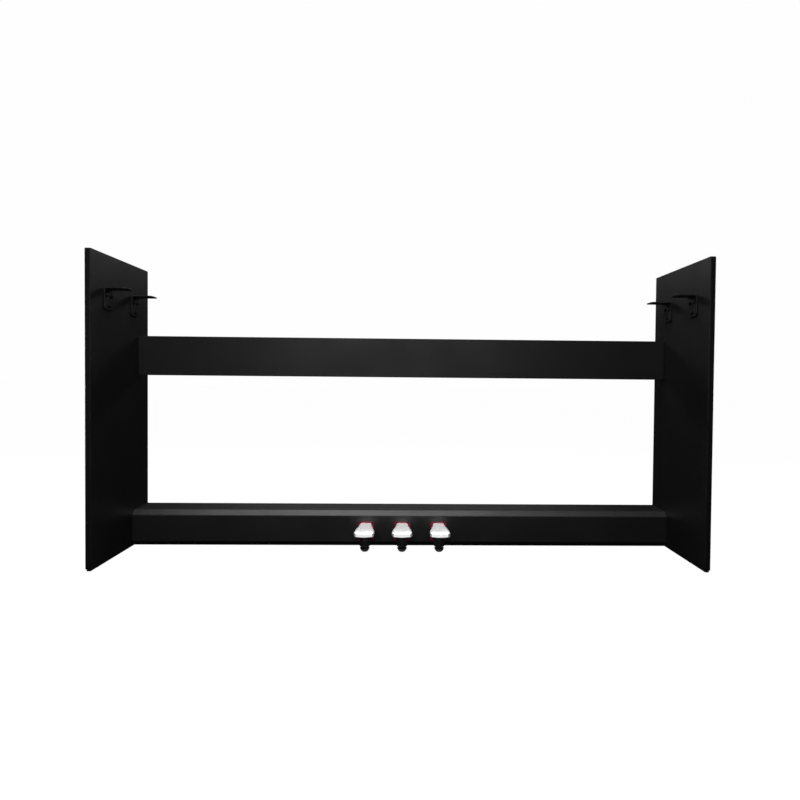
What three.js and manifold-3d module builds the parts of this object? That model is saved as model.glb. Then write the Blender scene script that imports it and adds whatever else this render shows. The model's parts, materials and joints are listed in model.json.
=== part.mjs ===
// A flat-panel stand for a slab digital piano, with a three-pedal unit in its bottom box.
// Millimetres, +Z up, the player's side towards -Y. The origin is on the floor, at the
// centre of the stand's footprint.
import * as THREE from 'three';
import { mergeVertices } from 'three/addons/utils/BufferGeometryUtils.js';
import Module from 'manifold-3d';

const wasm = await Module();
wasm.setup();

// ---- Overall sizes and fits ----
const standWidth = 1380;
const standHeight = 705;
const standDepth = 300;
const gap = 0.3; // left between pieces that touch
const boreClearance = 0.3; // radial, round bolts and screws

// ---- Side panels and the strips they stand on ----
const panelThickness = 12;
const panelCorner = 3;
const stripHeight = 4;
const stripWidth = 9;

// ---- Brackets that the piano rests on ----
const pianoDrop = 76.6; // top of the panels down to the brackets' arms
const bracketWidth = 41;
const bracketPlate = 2.5;
const armLength = 50;
const legLength = 50;
const bracketCorner = 7;
const bracketInset = 80.5; // panel's front and rear edges to the brackets' middles
const pianoHoleRadius = 2.75;
const pianoHoleInset = 20; // arm's end to the hole
const screwSideInset = 8; // leg's edges to the upper screws
const screwTopInset = 17; // top of the arm to the upper screws
const screwEndInset = 9.5; // leg's end to the lower screw
const screwRadius = 2;
const screwHeadRadius = 4.3;
const screwHeadHeight = 2.4;
const screwDepth = 8; // into the panel

// ---- Rear rail ----
const railHeight = 100;
const railThickness = 15;
const railSetback = 45; // rear face of the rail to the rear edge of the panels
const railDrop = 47.4; // brackets' legs down to the top of the rail
const railCorner = 1.5;

// ---- Pedal box ----
const boxHeight = 90.5;
const boxDepth = 94;
const boxLift = 1.5; // base above the floor
const boxSetback = 2; // rear face to the rear edge of the panels
const boardThickness = 12;
const frontThickness = 15;
const edgeRound = 13; // front board's top and bottom edges

// ---- Connector bolts, through the side panels ----
const boltRadius = 3;
const boltGrip = 16; // past the panel's inner face
const boltHeadRadius = 7;
const boltHeadHeight = 2.4;
const boltHeadRecess = 0.3;
const boltCover = 4; // end block past the bolt's tip
const railBoltInset = 25; // rail's edges to the bolts
const boxBoltInset = 17; // end block's front and rear faces to the bolts

// ---- Pedal slots and their felt ----
const pedalSpacing = 92;
const slotRise = 2; // slots above the base board
const slotCorner = 7.5;
const feltSide = 4.2;
const feltTop = 1.6;
const feltBottom = 3;
const feltStandout = 0.6; // in front of the box
const neckClearance = 1.2; // felt to the pedal's neck

// ---- Pedals ----
const pedalReach = 85; // toe in front of the box
const pedalPitch = THREE.MathUtils.degToRad(3.6); // toe-down at rest
const pedalTravel = THREE.MathUtils.degToRad(4); // further down when pressed
const pressClearance = 4.25; // toe over the boss when pressed
const toeWidth = 49;
const neckWidth = 30;
const toeThickness = 12;
const toeEdge = 2.5;
const toeCorner = 9;
const toeBulge = 3; // crown of the front edge
const toeStraight = 4; // straight sides behind the front corners
const flareStart = 2.3; // in front of the box
const neckInset = 1; // neck's rear end inside the slot
const leverWidth = 16;
const leverThickness = 8;
const leverBossGap = 6.7; // lever's front end behind the boss
const hubWall = 4; // round the shaft
const hubWidth = 23;
const tailLength = 10.5;
const tailThickness = 5;
const tailWidth = 12;

// ---- Pivot shaft, in the chassis ears ----
const shaftRadius = 4;
const shaftClearance = 0.1; // radial, in the lever hubs
const shaftOverhang = 4;
const clipThickness = 1.2;
const clipBand = 3;
const earThickness = 2.5;
const earWidth = 16;
const earClearance = 0.5;

// ---- Chassis, its tongues and their bosses ----
const chassisThickness = 3;
const chassisTail = 8; // behind the ears
const chassisMargin = 30; // past the outer pedals' middles
const tongueWidth = 20;
const tongueLift = 2; // above the felt's lower wall
const joggleLength = 6;
const joggleInset = 2; // behind the front board
const bossInset = 47; // behind the toe's front edge
const bossRadius = 13.3;
const bossAbove = 11.2; // over the tongue
const bossChamfer = 2;
const bossRoof = 3;

// ---- Adjustable feet ----
const footRadius = 12;
const footHeight = 10;
const footContact = 5;
const studRadius = 10;
const studClearance = 0.4;
const footTravel = 4.2;

// ---- Return springs ----
const springInset = 3; // behind the chassis plate's front edge
const springRadius = 5.3; // to the middle of the wire
const wireRadius = 0.7;
const springTurns = 5;

// ---- Sensors, their board and the cable socket ----
const circuitThickness = 1.6;
const circuitHeight = 32;
const circuitMargin = 13; // past the outer pedals' middles
const circuitStandoff = 1;
const sensorWidth = 12;
const sensorHeight = 10;
const sensorDepth = 7.6;
const sensorClearance = 1; // behind the lever's tail
const socketWidth = 19.4;
const socketHeight = 11.4;
const socketWall = 2.5;
const socketDepth = 9;
const socketTail = 1; // in front of the rear board
const socketFlange = 2.4; // round the body
const socketFlangeThickness = 1.4;

// ---- Derived places ----
const outerX = standWidth / 2;
const innerX = outerX - panelThickness;
const rearY = standDepth / 2;
const armTop = standHeight - pianoDrop;
const counterboreDepth = boltHeadRecess + boltHeadHeight + gap;
const endBlockWidth = boltGrip + boltCover;
const bracketYs = { front: bracketInset - rearY, rear: rearY - bracketInset };
const railTop = armTop - legLength - railDrop;
const railRear = rearY - railSetback;
const railFront = railRear - railThickness;
const railBoltZs = { lower: railTop - railHeight + railBoltInset, upper: railTop - railBoltInset };
const boxTop = boxLift + boxHeight;
const boxRear = rearY - boxSetback;
const boxFront = boxRear - boxDepth;
const baseTop = boxLift + boardThickness;
const lidBottom = boxTop - boardThickness;
const wallBack = boxDepth - boardThickness; // inner face of the rear board
const cavityFront = frontThickness + gap;
const boxBoltYs = {
  front: boxFront + cavityFront + boxBoltInset,
  rear: boxFront + wallBack - gap - boxBoltInset,
};
const boxBoltZ = (baseTop + lidBottom) / 2;
const pedalXs = { left: -pedalSpacing, centre: 0, right: pedalSpacing };
const roundRadius = Math.min(edgeRound, frontThickness - 1);

// The chassis stands on the base board. Its tongues and bosses set how high the pedals are.
const slotBottom = baseTop + slotRise;
const tongueBottom = slotBottom + gap + feltBottom + tongueLift;
const tongueTop = tongueBottom + chassisThickness;
const chassisBottom = baseTop + gap;
const chassisTop = chassisBottom + chassisThickness;
const joggleFront = frontThickness + joggleInset;
const chassisFront = joggleFront + joggleLength;
const bossY = bossInset - pedalReach;
const bossBottom = footHeight + footTravel + gap;
const bossTop = tongueTop + bossAbove;
const bossTopFront = bossY + bossChamfer - bossRadius;

// The sensors and their board stand against the rear board, and the pivot in front of them.
const circuitRear = wallBack - circuitStandoff;
const circuitFront = circuitRear - circuitThickness;
const sensorRear = circuitFront - gap;
const sensorFront = sensorRear - sensorDepth;
const pivotBack = sensorFront - sensorClearance - tailLength;
const hubRadius = shaftRadius + hubWall;

// The pedals clear the bosses when pressed, and the slots clear the pedals at rest.
const leverHalf = leverThickness / 2;
const toeBottom = leverHalf + gap;
const toeTop = toeBottom + toeThickness;
const tanPitch = Math.tan(pedalPitch);
const cosPitch = Math.cos(pedalPitch);
const pressedPitch = pedalPitch + pedalTravel;
const pressDrop = (pivotBack - bossTopFront) * Math.tan(pressedPitch);
const pivotZ = bossTop + pressClearance + pressDrop - toeBottom / Math.cos(pressedPitch);
const neckTop = pivotZ + toeTop / cosPitch - (pivotBack - frontThickness) * tanPitch;
const slotTop = neckTop + feltTop + 2 * gap;
const slotWidth = neckWidth + 2 * (neckClearance + feltSide + gap);
const springBack = chassisFront + springInset + springRadius + wireRadius;

// ---- Finishes ----
const finish = (color, roughness, metalness) =>
  new THREE.MeshStandardMaterial({ color, roughness, metalness });
const laminate = finish(0x0d0d0e, 0.5, 0);
const blackSteel = finish(0x17171a, 0.45, 0.6);
const blackPlastic = finish(0x101011, 0.6, 0);
const rubber = finish(0x0c0c0c, 0.85, 0);
const chrome = finish(0xe4e6e8, 0.12, 1);
const zinc = finish(0xa8abb0, 0.35, 0.9);
const redFelt = finish(0xa3122c, 0.95, 0);
const circuitGreen = finish(0x1d5a34, 0.55, 0);

// ---- Shape helpers ----

// A closed geometry as a manifold solid, with shared corners merged.
function solid(geometry) {
  const bare = geometry.clone();
  bare.deleteAttribute('normal');
  bare.deleteAttribute('uv');
  const merged = mergeVertices(bare);
  const corners = merged.index.array;
  const triangles = [];
  for (let i = 0; i < corners.length; i += 3) {
    const [a, b, c] = corners.slice(i, i + 3);
    if (a !== b && b !== c && c !== a) triangles.push(a, b, c);
  }
  return new wasm.Manifold(new wasm.Mesh({
    numProp: 3,
    vertProperties: merged.attributes.position.array,
    triVerts: Uint32Array.from(triangles),
  }));
}

function geometryOf(manifold) {
  const { vertProperties, triVerts } = manifold.getMesh();
  const geometry = new THREE.BufferGeometry();
  geometry.setAttribute('position', new THREE.BufferAttribute(vertProperties, 3));
  geometry.setIndex(new THREE.BufferAttribute(triVerts, 1));
  geometry.computeVertexNormals();
  return geometry;
}

function fuse(first, ...others) {
  return geometryOf(others.reduce((body, other) => body.add(solid(other)), solid(first)));
}

function carve(first, ...tools) {
  return geometryOf(tools.reduce((body, tool) => body.subtract(solid(tool)), solid(first)));
}

// A box between two corners.
function block([x0, y0, z0], [x1, y1, z1]) {
  const geometry = new THREE.BoxGeometry(x1 - x0, y1 - y0, z1 - z0);
  return geometry.translate((x0 + x1) / 2, (y0 + y1) / 2, (z0 + z1) / 2);
}

// A round bar along an axis, from `start` to `end`; `at` is a point on its centre line.
function rod(axis, radius, start, end, at, sides = 24) {
  const geometry = new THREE.CylinderGeometry(radius, radius, Math.abs(end - start), sides);
  const centre = new THREE.Vector3(...at);
  centre[axis] = (start + end) / 2;
  if (axis === 'x') geometry.rotateZ(Math.PI / 2);
  if (axis === 'z') geometry.rotateX(Math.PI / 2);
  return geometry.translate(centre.x, centre.y, centre.z);
}

// An outline pushed along an axis. Outlines are drawn in (y, z) for x, in (x, z) for y and
// in (x, y) for z.
function prism(axis, outline, start, end, curveSegments = 4) {
  const depth = end - start;
  const geometry = new THREE.ExtrudeGeometry(outline, { depth, bevelEnabled: false, curveSegments });
  const x = new THREE.Vector3(1, 0, 0);
  const y = new THREE.Vector3(0, 1, 0);
  const z = new THREE.Vector3(0, 0, 1);
  const turn = new THREE.Matrix4();
  if (axis === 'x') turn.makeBasis(y, z, x).setPosition(start, 0, 0);
  if (axis === 'y') turn.makeBasis(x, z, y.clone().negate()).setPosition(0, end, 0);
  if (axis === 'z') turn.setPosition(0, 0, start);
  return geometry.applyMatrix4(turn);
}

function roundedOutline(left, right, bottom, top, radius) {
  const outline = new THREE.Shape();
  outline.absarc(right - radius, bottom + radius, radius, -Math.PI / 2, 0);
  outline.absarc(right - radius, top - radius, radius, 0, Math.PI / 2);
  outline.absarc(left + radius, top - radius, radius, Math.PI / 2, Math.PI);
  outline.absarc(left + radius, bottom + radius, radius, Math.PI, 1.5 * Math.PI);
  return outline;
}

function polygon(corners) {
  return new THREE.Shape(corners.map(([across, up]) => new THREE.Vector2(across, up)));
}

// A turned piece about the Z axis, from [radius, z] pairs listed from the bottom up.
function turned(profile, sides) {
  const points = profile.map(([radius, z]) => new THREE.Vector2(radius, z));
  return new THREE.LatheGeometry(points, sides).rotateX(Math.PI / 2);
}

function piece(name, geometry, material) {
  const mesh = new THREE.Mesh(geometry, material);
  mesh.name = name;
  return mesh;
}

const sides = { left: -1, right: 1 };

// ---- Side panels ----

// Counterbored hole for one connector bolt, through the panel on the given side.
function boltHole(side, y, z) {
  const at = [0, y, z];
  const outside = side * (outerX + 1);
  const shank = rod('x', boltRadius + boreClearance, side * (innerX - 1), outside, at, 12);
  const seat = side * (outerX - counterboreDepth);
  return [shank, rod('x', boltHeadRadius + 1, seat, outside, at, 16)];
}

function boltPlaces() {
  const rail = Object.values(railBoltZs).map((z) => [railRear - railThickness / 2, z]);
  const box = Object.values(boxBoltYs).map((y) => [y, boxBoltZ]);
  return [...rail, ...box];
}

// Where the screws sit in a bracket, as [along the panel, up from the arm's top].
function bracketScrewPlaces() {
  return {
    upper_front: [screwSideInset - bracketWidth / 2, -screwTopInset],
    upper_rear: [bracketWidth / 2 - screwSideInset, -screwTopInset],
    lower: [0, screwEndInset - legLength],
  };
}

function screwBores(side) {
  const bores = [];
  const floor = side * (innerX + screwDepth + 1);
  for (const bracketY of Object.values(bracketYs)) {
    for (const [along, up] of Object.values(bracketScrewPlaces())) {
      const at = [0, bracketY + along, armTop + up];
      bores.push(rod('x', screwRadius + boreClearance, side * (innerX - 1), floor, at, 8));
    }
  }
  return bores;
}

function sidePanel(name, side) {
  const bottom = stripHeight + gap;
  const outline = roundedOutline(-rearY, rearY, bottom, standHeight, panelCorner);
  const left = Math.min(side * innerX, side * outerX);
  const board = prism('x', outline, left, left + panelThickness, 2);
  const holes = boltPlaces().flatMap(([y, z]) => boltHole(side, y, z));
  return piece(`${name}_side_panel`, carve(board, ...holes, ...screwBores(side)), laminate);
}

function floorStrip(name, side) {
  const middle = side * (outerX - panelThickness / 2);
  const half = stripWidth / 2;
  const ends = rearY - panelCorner;
  const strip = block([middle - half, -ends, 0], [middle + half, ends, stripHeight]);
  return piece(`${name}_floor_strip`, strip, blackPlastic);
}

// ---- Piano brackets, each with its three screws ----

function bracketShape() {
  const half = bracketWidth / 2;
  const seat = gap;
  const leg = prism(
    'x',
    roundedOutline(-half, half, -legLength, bracketCorner, bracketCorner),
    seat,
    seat + bracketPlate,
    2,
  );
  const arm = prism(
    'z',
    roundedOutline(seat - bracketCorner, armLength, -half, half, bracketCorner),
    -bracketPlate,
    0,
    2,
  );
  const above = block([-armLength, -half - 1, 0], [armLength, half + 1, bracketCorner + 1]);
  const behind = block([-armLength, -half - 1, -legLength], [seat, half + 1, 1]);
  const holes = Object.values(bracketScrewPlaces()).map(([along, up]) =>
    rod('x', screwRadius + boreClearance, -1, seat + bracketPlate + 1, [0, along, up], 12));
  const pianoHole = rod('z', pianoHoleRadius, -bracketPlate - 1, 1, [armLength - pianoHoleInset, 0, 0], 16);
  return carve(fuse(leg, arm), above, behind, pianoHole, ...holes);
}

function screwShape() {
  const seat = gap + bracketPlate + gap;
  const profile = [
    [0, -screwDepth],
    [screwRadius, -screwDepth + 1],
    [screwRadius, seat],
    [screwHeadRadius, seat],
    [screwHeadRadius, seat + screwHeadHeight * 0.4],
    [screwHeadRadius * 0.6, seat + screwHeadHeight],
    [0, seat + screwHeadHeight],
  ];
  return turned(profile, 12).rotateY(Math.PI / 2);
}

// The bracket's own frame has the panel's inner face at x = 0 and the arm reaching to +X.
function bracket(name, side, y, shape, screw) {
  const group = new THREE.Group();
  group.position.set(side * innerX, y, armTop);
  group.rotation.z = side > 0 ? Math.PI : 0;
  group.add(piece(`${name}_bracket`, shape, blackSteel));
  for (const [place, [along, up]] of Object.entries(bracketScrewPlaces())) {
    const mesh = piece(`${name}_bracket_screw_${place}`, screw, blackSteel);
    mesh.position.set(0, -side * along, up);
    group.add(mesh);
  }
  return group;
}

// ---- Rear rail ----

function rearRail() {
  const end = innerX - gap;
  const outline = roundedOutline(railFront, railRear, railTop - railHeight, railTop, railCorner);
  const bores = [];
  for (const side of Object.values(sides)) {
    for (const z of Object.values(railBoltZs)) {
      const floor = side * (innerX - boltGrip - 1);
      const at = [0, railRear - railThickness / 2, z];
      bores.push(rod('x', boltRadius + boreClearance, floor, side * outerX, at, 12));
    }
  }
  return piece('rear_rail', carve(prism('x', outline, -end, end, 1), ...bores), laminate);
}

// ---- Pedal box boards, in a frame whose y = 0 is the front of the box ----

function frontBoardOutline() {
  const outline = new THREE.Shape();
  outline.moveTo(roundRadius, boxLift);
  outline.lineTo(frontThickness, boxLift);
  outline.lineTo(frontThickness, boxTop);
  outline.absarc(roundRadius, boxTop - roundRadius, roundRadius, Math.PI / 2, Math.PI);
  outline.absarc(roundRadius, boxLift + roundRadius, roundRadius, Math.PI, 1.5 * Math.PI);
  return outline;
}

function slotOutline(x, inset) {
  return roundedOutline(
    x - slotWidth / 2 + inset,
    x + slotWidth / 2 - inset,
    slotBottom + inset,
    slotTop - inset,
    slotCorner - inset,
  );
}

function frontBoard() {
  const end = innerX - gap;
  const board = prism('x', frontBoardOutline(), -end, end, 4);
  const slots = Object.values(pedalXs).map((x) =>
    prism('y', slotOutline(x, 0), -1, frontThickness + 1, 3));
  return piece('pedal_box_front', carve(board, ...slots), laminate);
}

function flatBoard(name, front, rear, bottom, top) {
  const end = innerX - gap;
  return piece(name, block([-end, front, bottom], [end, rear, top]), laminate);
}

function rearBoard() {
  const end = innerX - gap;
  const board = block([-end, wallBack, baseTop + gap], [end, boxDepth, lidBottom - gap]);
  const halfWidth = socketWidth / 2 + gap;
  const halfHeight = socketHeight / 2 + gap;
  const window = block(
    [-halfWidth, wallBack - 1, boxBoltZ - halfHeight],
    [halfWidth, boxDepth + 1, boxBoltZ + halfHeight],
  );
  return piece('pedal_box_rear', carve(board, window), laminate);
}

function endBlock(name, side) {
  const outer = innerX - gap;
  const inner = outer - endBlockWidth;
  const left = Math.min(side * outer, side * inner);
  const body = block(
    [left, cavityFront, baseTop + gap],
    [left + endBlockWidth, wallBack - gap, lidBottom - gap],
  );
  const bores = Object.values(boxBoltYs).map((y) => {
    const at = [0, y - boxFront, boxBoltZ];
    const floor = side * (innerX - boltGrip - 1);
    return rod('x', boltRadius + boreClearance, floor, side * outerX, at, 12);
  });
  return piece(`pedal_box_${name}_end`, carve(body, ...bores), laminate);
}

function pedalBox() {
  const group = new THREE.Group();
  group.position.y = boxFront;
  group.add(frontBoard());
  group.add(flatBoard('pedal_box_top', cavityFront, boxDepth, lidBottom, boxTop));
  group.add(flatBoard('pedal_box_base', cavityFront, boxDepth, boxLift, baseTop));
  group.add(rearBoard());
  for (const [name, side] of Object.entries(sides)) group.add(endBlock(name, side));
  return group;
}

// ---- Connector bolts ----

// The bolt's own frame has the panel's outer face at x = 0 and the shank reaching to +X.
function boltShape() {
  const seat = counterboreDepth - gap;
  const face = seat - boltHeadHeight;
  const profile = [
    [0, face],
    [boltHeadRadius - 0.6, face],
    [boltHeadRadius, face + 0.6],
    [boltHeadRadius, seat],
    [boltRadius, seat],
    [boltRadius, panelThickness + boltGrip - 1],
    [boltRadius - 1, panelThickness + boltGrip],
    [0, panelThickness + boltGrip],
  ];
  const bolt = turned(profile, 16);
  const keyDepth = boltHeadHeight * 0.7;
  const key = rod('z', boltRadius * 0.9, face - 1, face + keyDepth, [0, 0, 0], 6);
  return carve(bolt, key).rotateY(Math.PI / 2);
}

function connectorBolts() {
  const group = new THREE.Group();
  const shape = boltShape();
  const places = {};
  const railY = railRear - railThickness / 2;
  for (const [name, z] of Object.entries(railBoltZs)) places[`rail_bolt_${name}`] = [railY, z];
  for (const [name, y] of Object.entries(boxBoltYs)) places[`box_bolt_${name}`] = [y, boxBoltZ];
  for (const [sideName, side] of Object.entries(sides)) {
    for (const [name, [y, z]] of Object.entries(places)) {
      const mesh = piece(`${sideName}_${name}`, shape, zinc);
      mesh.position.set(side * outerX, y, z);
      mesh.rotation.z = side > 0 ? Math.PI : 0;
      group.add(mesh);
    }
  }
  return group;
}

// ---- Felt slot linings ----

function feltLining(name, x) {
  const outline = slotOutline(x, gap);
  const inner = roundedOutline(
    x - slotWidth / 2 + gap + feltSide,
    x + slotWidth / 2 - gap - feltSide,
    slotBottom + gap + feltBottom,
    slotTop - gap - feltTop,
    slotCorner - feltSide,
  );
  outline.holes.push(inner);
  const ring = prism('y', outline, -feltStandout, frontThickness, 3);
  return piece(`${name}_slot_felt`, ring, redFelt);
}

// ---- Chassis ----

function tongue(x) {
  const rear = chassisFront + joggleLength;
  const outline = polygon([
    [bossY, tongueBottom],
    [joggleFront, tongueBottom],
    [chassisFront, chassisBottom],
    [rear, chassisBottom],
    [rear, chassisTop],
    [chassisFront + 1, chassisTop],
    [joggleFront + 1, tongueTop],
    [bossY, tongueTop],
  ]);
  return prism('x', outline, x - tongueWidth / 2, x + tongueWidth / 2);
}

function boss(x) {
  const profile = [
    [0, bossBottom],
    [bossRadius, bossBottom],
    [bossRadius, bossTop - bossChamfer],
    [bossRadius - bossChamfer, bossTop],
    [0, bossTop],
  ];
  return turned(profile, 24).translate(x, bossY, 0);
}

function ear(x, direction) {
  const inner = x + direction * (hubWidth / 2 + earClearance);
  const outer = inner + direction * earThickness;
  const half = earWidth / 2;
  const outline = new THREE.Shape();
  outline.moveTo(pivotBack - half, chassisBottom);
  outline.lineTo(pivotBack + half, chassisBottom);
  outline.absarc(pivotBack, pivotZ, half, 0, Math.PI);
  return prism('x', outline, Math.min(inner, outer), Math.max(inner, outer), 3);
}

function chassis() {
  const half = pedalSpacing + chassisMargin;
  const rear = pivotBack + earWidth / 2 + chassisTail;
  const plate = block([-half, chassisFront, chassisBottom], [half, rear, chassisTop]);
  const xs = Object.values(pedalXs);
  const raised = xs.flatMap((x) => [tongue(x), boss(x), ear(x, -1), ear(x, 1)]);
  const shaftHole = rod('x', shaftRadius + gap, -half, half, [0, pivotBack, pivotZ], 16);
  const studRoof = bossTop - bossRoof;
  const studBores = xs.map((x) =>
    rod('z', studRadius + studClearance, 0, studRoof, [x, bossY, 0], 16));
  return piece('pedal_chassis', carve(fuse(plate, ...raised), shaftHole, ...studBores), blackSteel);
}

// ---- Pivot shaft and its clips ----

const lastEarX = pedalSpacing + hubWidth / 2 + earClearance + earThickness;

function pivotShaft() {
  const end = lastEarX + gap + clipThickness + shaftOverhang;
  const shaft = rod('x', shaftRadius, -end, end, [0, pivotBack, pivotZ], 32);
  return piece('pivot_shaft', shaft, zinc);
}

function shaftClip(name, side) {
  const opening = 0.6;
  const bore = shaftRadius + gap;
  const outline = new THREE.Shape();
  outline.absarc(0, 0, shaftRadius + clipBand, opening, 2 * Math.PI - opening);
  outline.absarc(0, 0, bore, 2 * Math.PI - opening, opening, true);
  const near = side * (lastEarX + gap);
  const far = near + side * clipThickness;
  const ring = prism('x', outline, Math.min(near, far), Math.max(near, far), 8);
  return piece(`${name}_shaft_clip`, ring.translate(0, pivotBack, pivotZ), zinc);
}

// ---- Pedals, in a frame on the pivot whose -Y points along the pedal ----

const toeFront = toeTop * tanPitch - (pivotBack + pedalReach) / cosPitch;

function toeOutline() {
  const neck = neckWidth / 2;
  const wide = toeWidth / 2;
  const rear = frontThickness - neckInset - pivotBack;
  const shoulder = toeFront + toeBulge; // front edge at the corners
  const wideRear = shoulder + toeCorner + toeStraight;
  const flareRear = -flareStart - pivotBack;
  const pull = (flareRear - wideRear) * 0.35;
  const outline = new THREE.Shape();
  outline.moveTo(-neck, rear);
  outline.lineTo(-neck, flareRear);
  outline.bezierCurveTo(-neck, flareRear - pull, -wide, wideRear + pull, -wide, wideRear);
  outline.absarc(toeCorner - wide, shoulder + toeCorner, toeCorner, Math.PI, 1.5 * Math.PI);
  outline.quadraticCurveTo(0, shoulder - 2 * toeBulge, wide - toeCorner, shoulder);
  outline.absarc(wide - toeCorner, shoulder + toeCorner, toeCorner, 1.5 * Math.PI, 2 * Math.PI);
  outline.lineTo(wide, wideRear);
  outline.bezierCurveTo(wide, wideRear + pull, neck, flareRear - pull, neck, flareRear);
  outline.lineTo(neck, rear);
  return outline;
}

function toeShape() {
  const shape = new THREE.ExtrudeGeometry(toeOutline(), {
    depth: toeThickness - 2 * toeEdge,
    bevelThickness: toeEdge,
    bevelSize: toeEdge,
    bevelOffset: -toeEdge,
    bevelSegments: 2,
    curveSegments: 5,
  });
  return shape.translate(0, 0, toeBottom + toeEdge);
}

function leverShape() {
  const half = leverWidth / 2;
  const front = toeFront + bossInset + bossRadius + leverBossGap;
  const bar = block([-half, front, -leverHalf], [half, 0, leverHalf]);
  const hub = rod('x', hubRadius, -hubWidth / 2, hubWidth / 2, [0, 0, 0]);
  const tail = block(
    [-tailWidth / 2, 0, -tailThickness / 2],
    [tailWidth / 2, tailLength, tailThickness / 2],
  );
  const bore = rod('x', shaftRadius + shaftClearance, -hubWidth, hubWidth, [0, 0, 0], 32);
  return carve(fuse(bar, hub, tail), bore);
}

function pedal(name, x, toe, lever) {
  const group = new THREE.Group();
  group.position.set(x, pivotBack, pivotZ);
  group.rotation.x = pedalPitch;
  group.add(piece(`${name}_pedal_toe`, toe, chrome));
  group.add(piece(`${name}_pedal_lever`, lever, blackSteel));
  return group;
}

// ---- Return springs ----

class Helix extends THREE.Curve {
  constructor(radius, height, turns) {
    super();
    this.radius = radius;
    this.height = height;
    this.turns = turns;
  }

  getPoint(t, target = new THREE.Vector3()) {
    const angle = 2 * Math.PI * this.turns * t;
    return target.set(
      this.radius * Math.cos(angle),
      this.radius * Math.sin(angle),
      this.height * t,
    );
  }
}

function springShape() {
  const front = springBack - springRadius - wireRadius;
  const leverBottom = pivotZ + (front - pivotBack) * tanPitch - leverHalf / cosPitch;
  const height = leverBottom - chassisTop - 2 * gap - 2 * wireRadius;
  const wire = new THREE.Shape().absarc(0, 0, wireRadius, 0, 2 * Math.PI);
  return new THREE.ExtrudeGeometry(wire, {
    steps: springTurns * 10,
    curveSegments: 3,
    extrudePath: new Helix(springRadius, height, springTurns),
  }).translate(0, 0, chassisTop + gap + wireRadius);
}

// ---- Adjustable feet ----

function footShape() {
  const rim = footHeight - 2;
  const profile = [
    [0, 0],
    [footContact, 0],
    [footRadius * 0.64, rim * 0.19],
    [footRadius * 0.8, rim * 0.5],
    [footRadius * 0.95, rim],
    [footRadius, footHeight],
    [studRadius, footHeight],
    [studRadius, bossTop - bossRoof - footTravel - gap],
    [0, bossTop - bossRoof - footTravel - gap],
  ];
  return turned(profile, 24);
}

// ---- Sensors, circuit board and cable socket ----

function circuitBoard() {
  const half = pedalSpacing + circuitMargin;
  const board = block(
    [-half, circuitFront, boxBoltZ - circuitHeight / 2],
    [half, circuitRear, boxBoltZ + circuitHeight / 2],
  );
  return piece('pedal_circuit_board', board, circuitGreen);
}

function sensor(name, x) {
  const half = sensorWidth / 2;
  const body = block(
    [x - half, sensorFront, pivotZ - sensorHeight / 2],
    [x + half, sensorRear, pivotZ + sensorHeight / 2],
  );
  return piece(`${name}_pedal_sensor`, body, blackPlastic);
}

function cableSocket() {
  const halfWidth = socketWidth / 2;
  const halfHeight = socketHeight / 2;
  const front = wallBack - socketTail + gap;
  const face = boxDepth + gap + socketFlangeThickness;
  const body = block(
    [-halfWidth, front, boxBoltZ - halfHeight],
    [halfWidth, face, boxBoltZ + halfHeight],
  );
  const flange = block(
    [-halfWidth - socketFlange, boxDepth + gap, boxBoltZ - halfHeight - socketFlange],
    [halfWidth + socketFlange, face, boxBoltZ + halfHeight + socketFlange],
  );
  const mouth = block(
    [socketWall - halfWidth, face - socketDepth, boxBoltZ + socketWall - halfHeight],
    [halfWidth - socketWall, face + 1, boxBoltZ - socketWall + halfHeight],
  );
  return piece('cable_socket', carve(fuse(body, flange), mouth), blackPlastic);
}

// ---- Pedal unit, in the pedal box's frame ----

function pedalUnit() {
  const group = new THREE.Group();
  group.position.y = boxFront;
  group.add(chassis(), pivotShaft(), circuitBoard(), cableSocket());
  for (const [name, side] of Object.entries(sides)) group.add(shaftClip(name, side));
  const toe = toeShape();
  const lever = leverShape();
  const spring = springShape();
  const foot = footShape();
  for (const [name, x] of Object.entries(pedalXs)) {
    const springMesh = piece(`${name}_return_spring`, spring, zinc);
    springMesh.position.set(x, springBack, 0);
    const footMesh = piece(`${name}_adjuster_foot`, foot, rubber);
    footMesh.position.set(x, bossY, 0);
    group.add(pedal(name, x, toe, lever), springMesh, footMesh);
    group.add(feltLining(name, x), sensor(name, x));
  }
  return group;
}

// ---- The whole stand ----

const stand = new THREE.Group();
const bracketGeometry = bracketShape();
const screwGeometry = screwShape();
for (const [name, side] of Object.entries(sides)) {
  stand.add(sidePanel(name, side), floorStrip(name, side));
  for (const [station, y] of Object.entries(bracketYs)) {
    stand.add(bracket(`${name}_${station}`, side, y, bracketGeometry, screwGeometry));
  }
}
stand.add(rearRail(), pedalBox(), connectorBolts(), pedalUnit());

export default stand;
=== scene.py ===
import json
import math

import bmesh
import bpy
from mathutils import Matrix, Vector, noise

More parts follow.
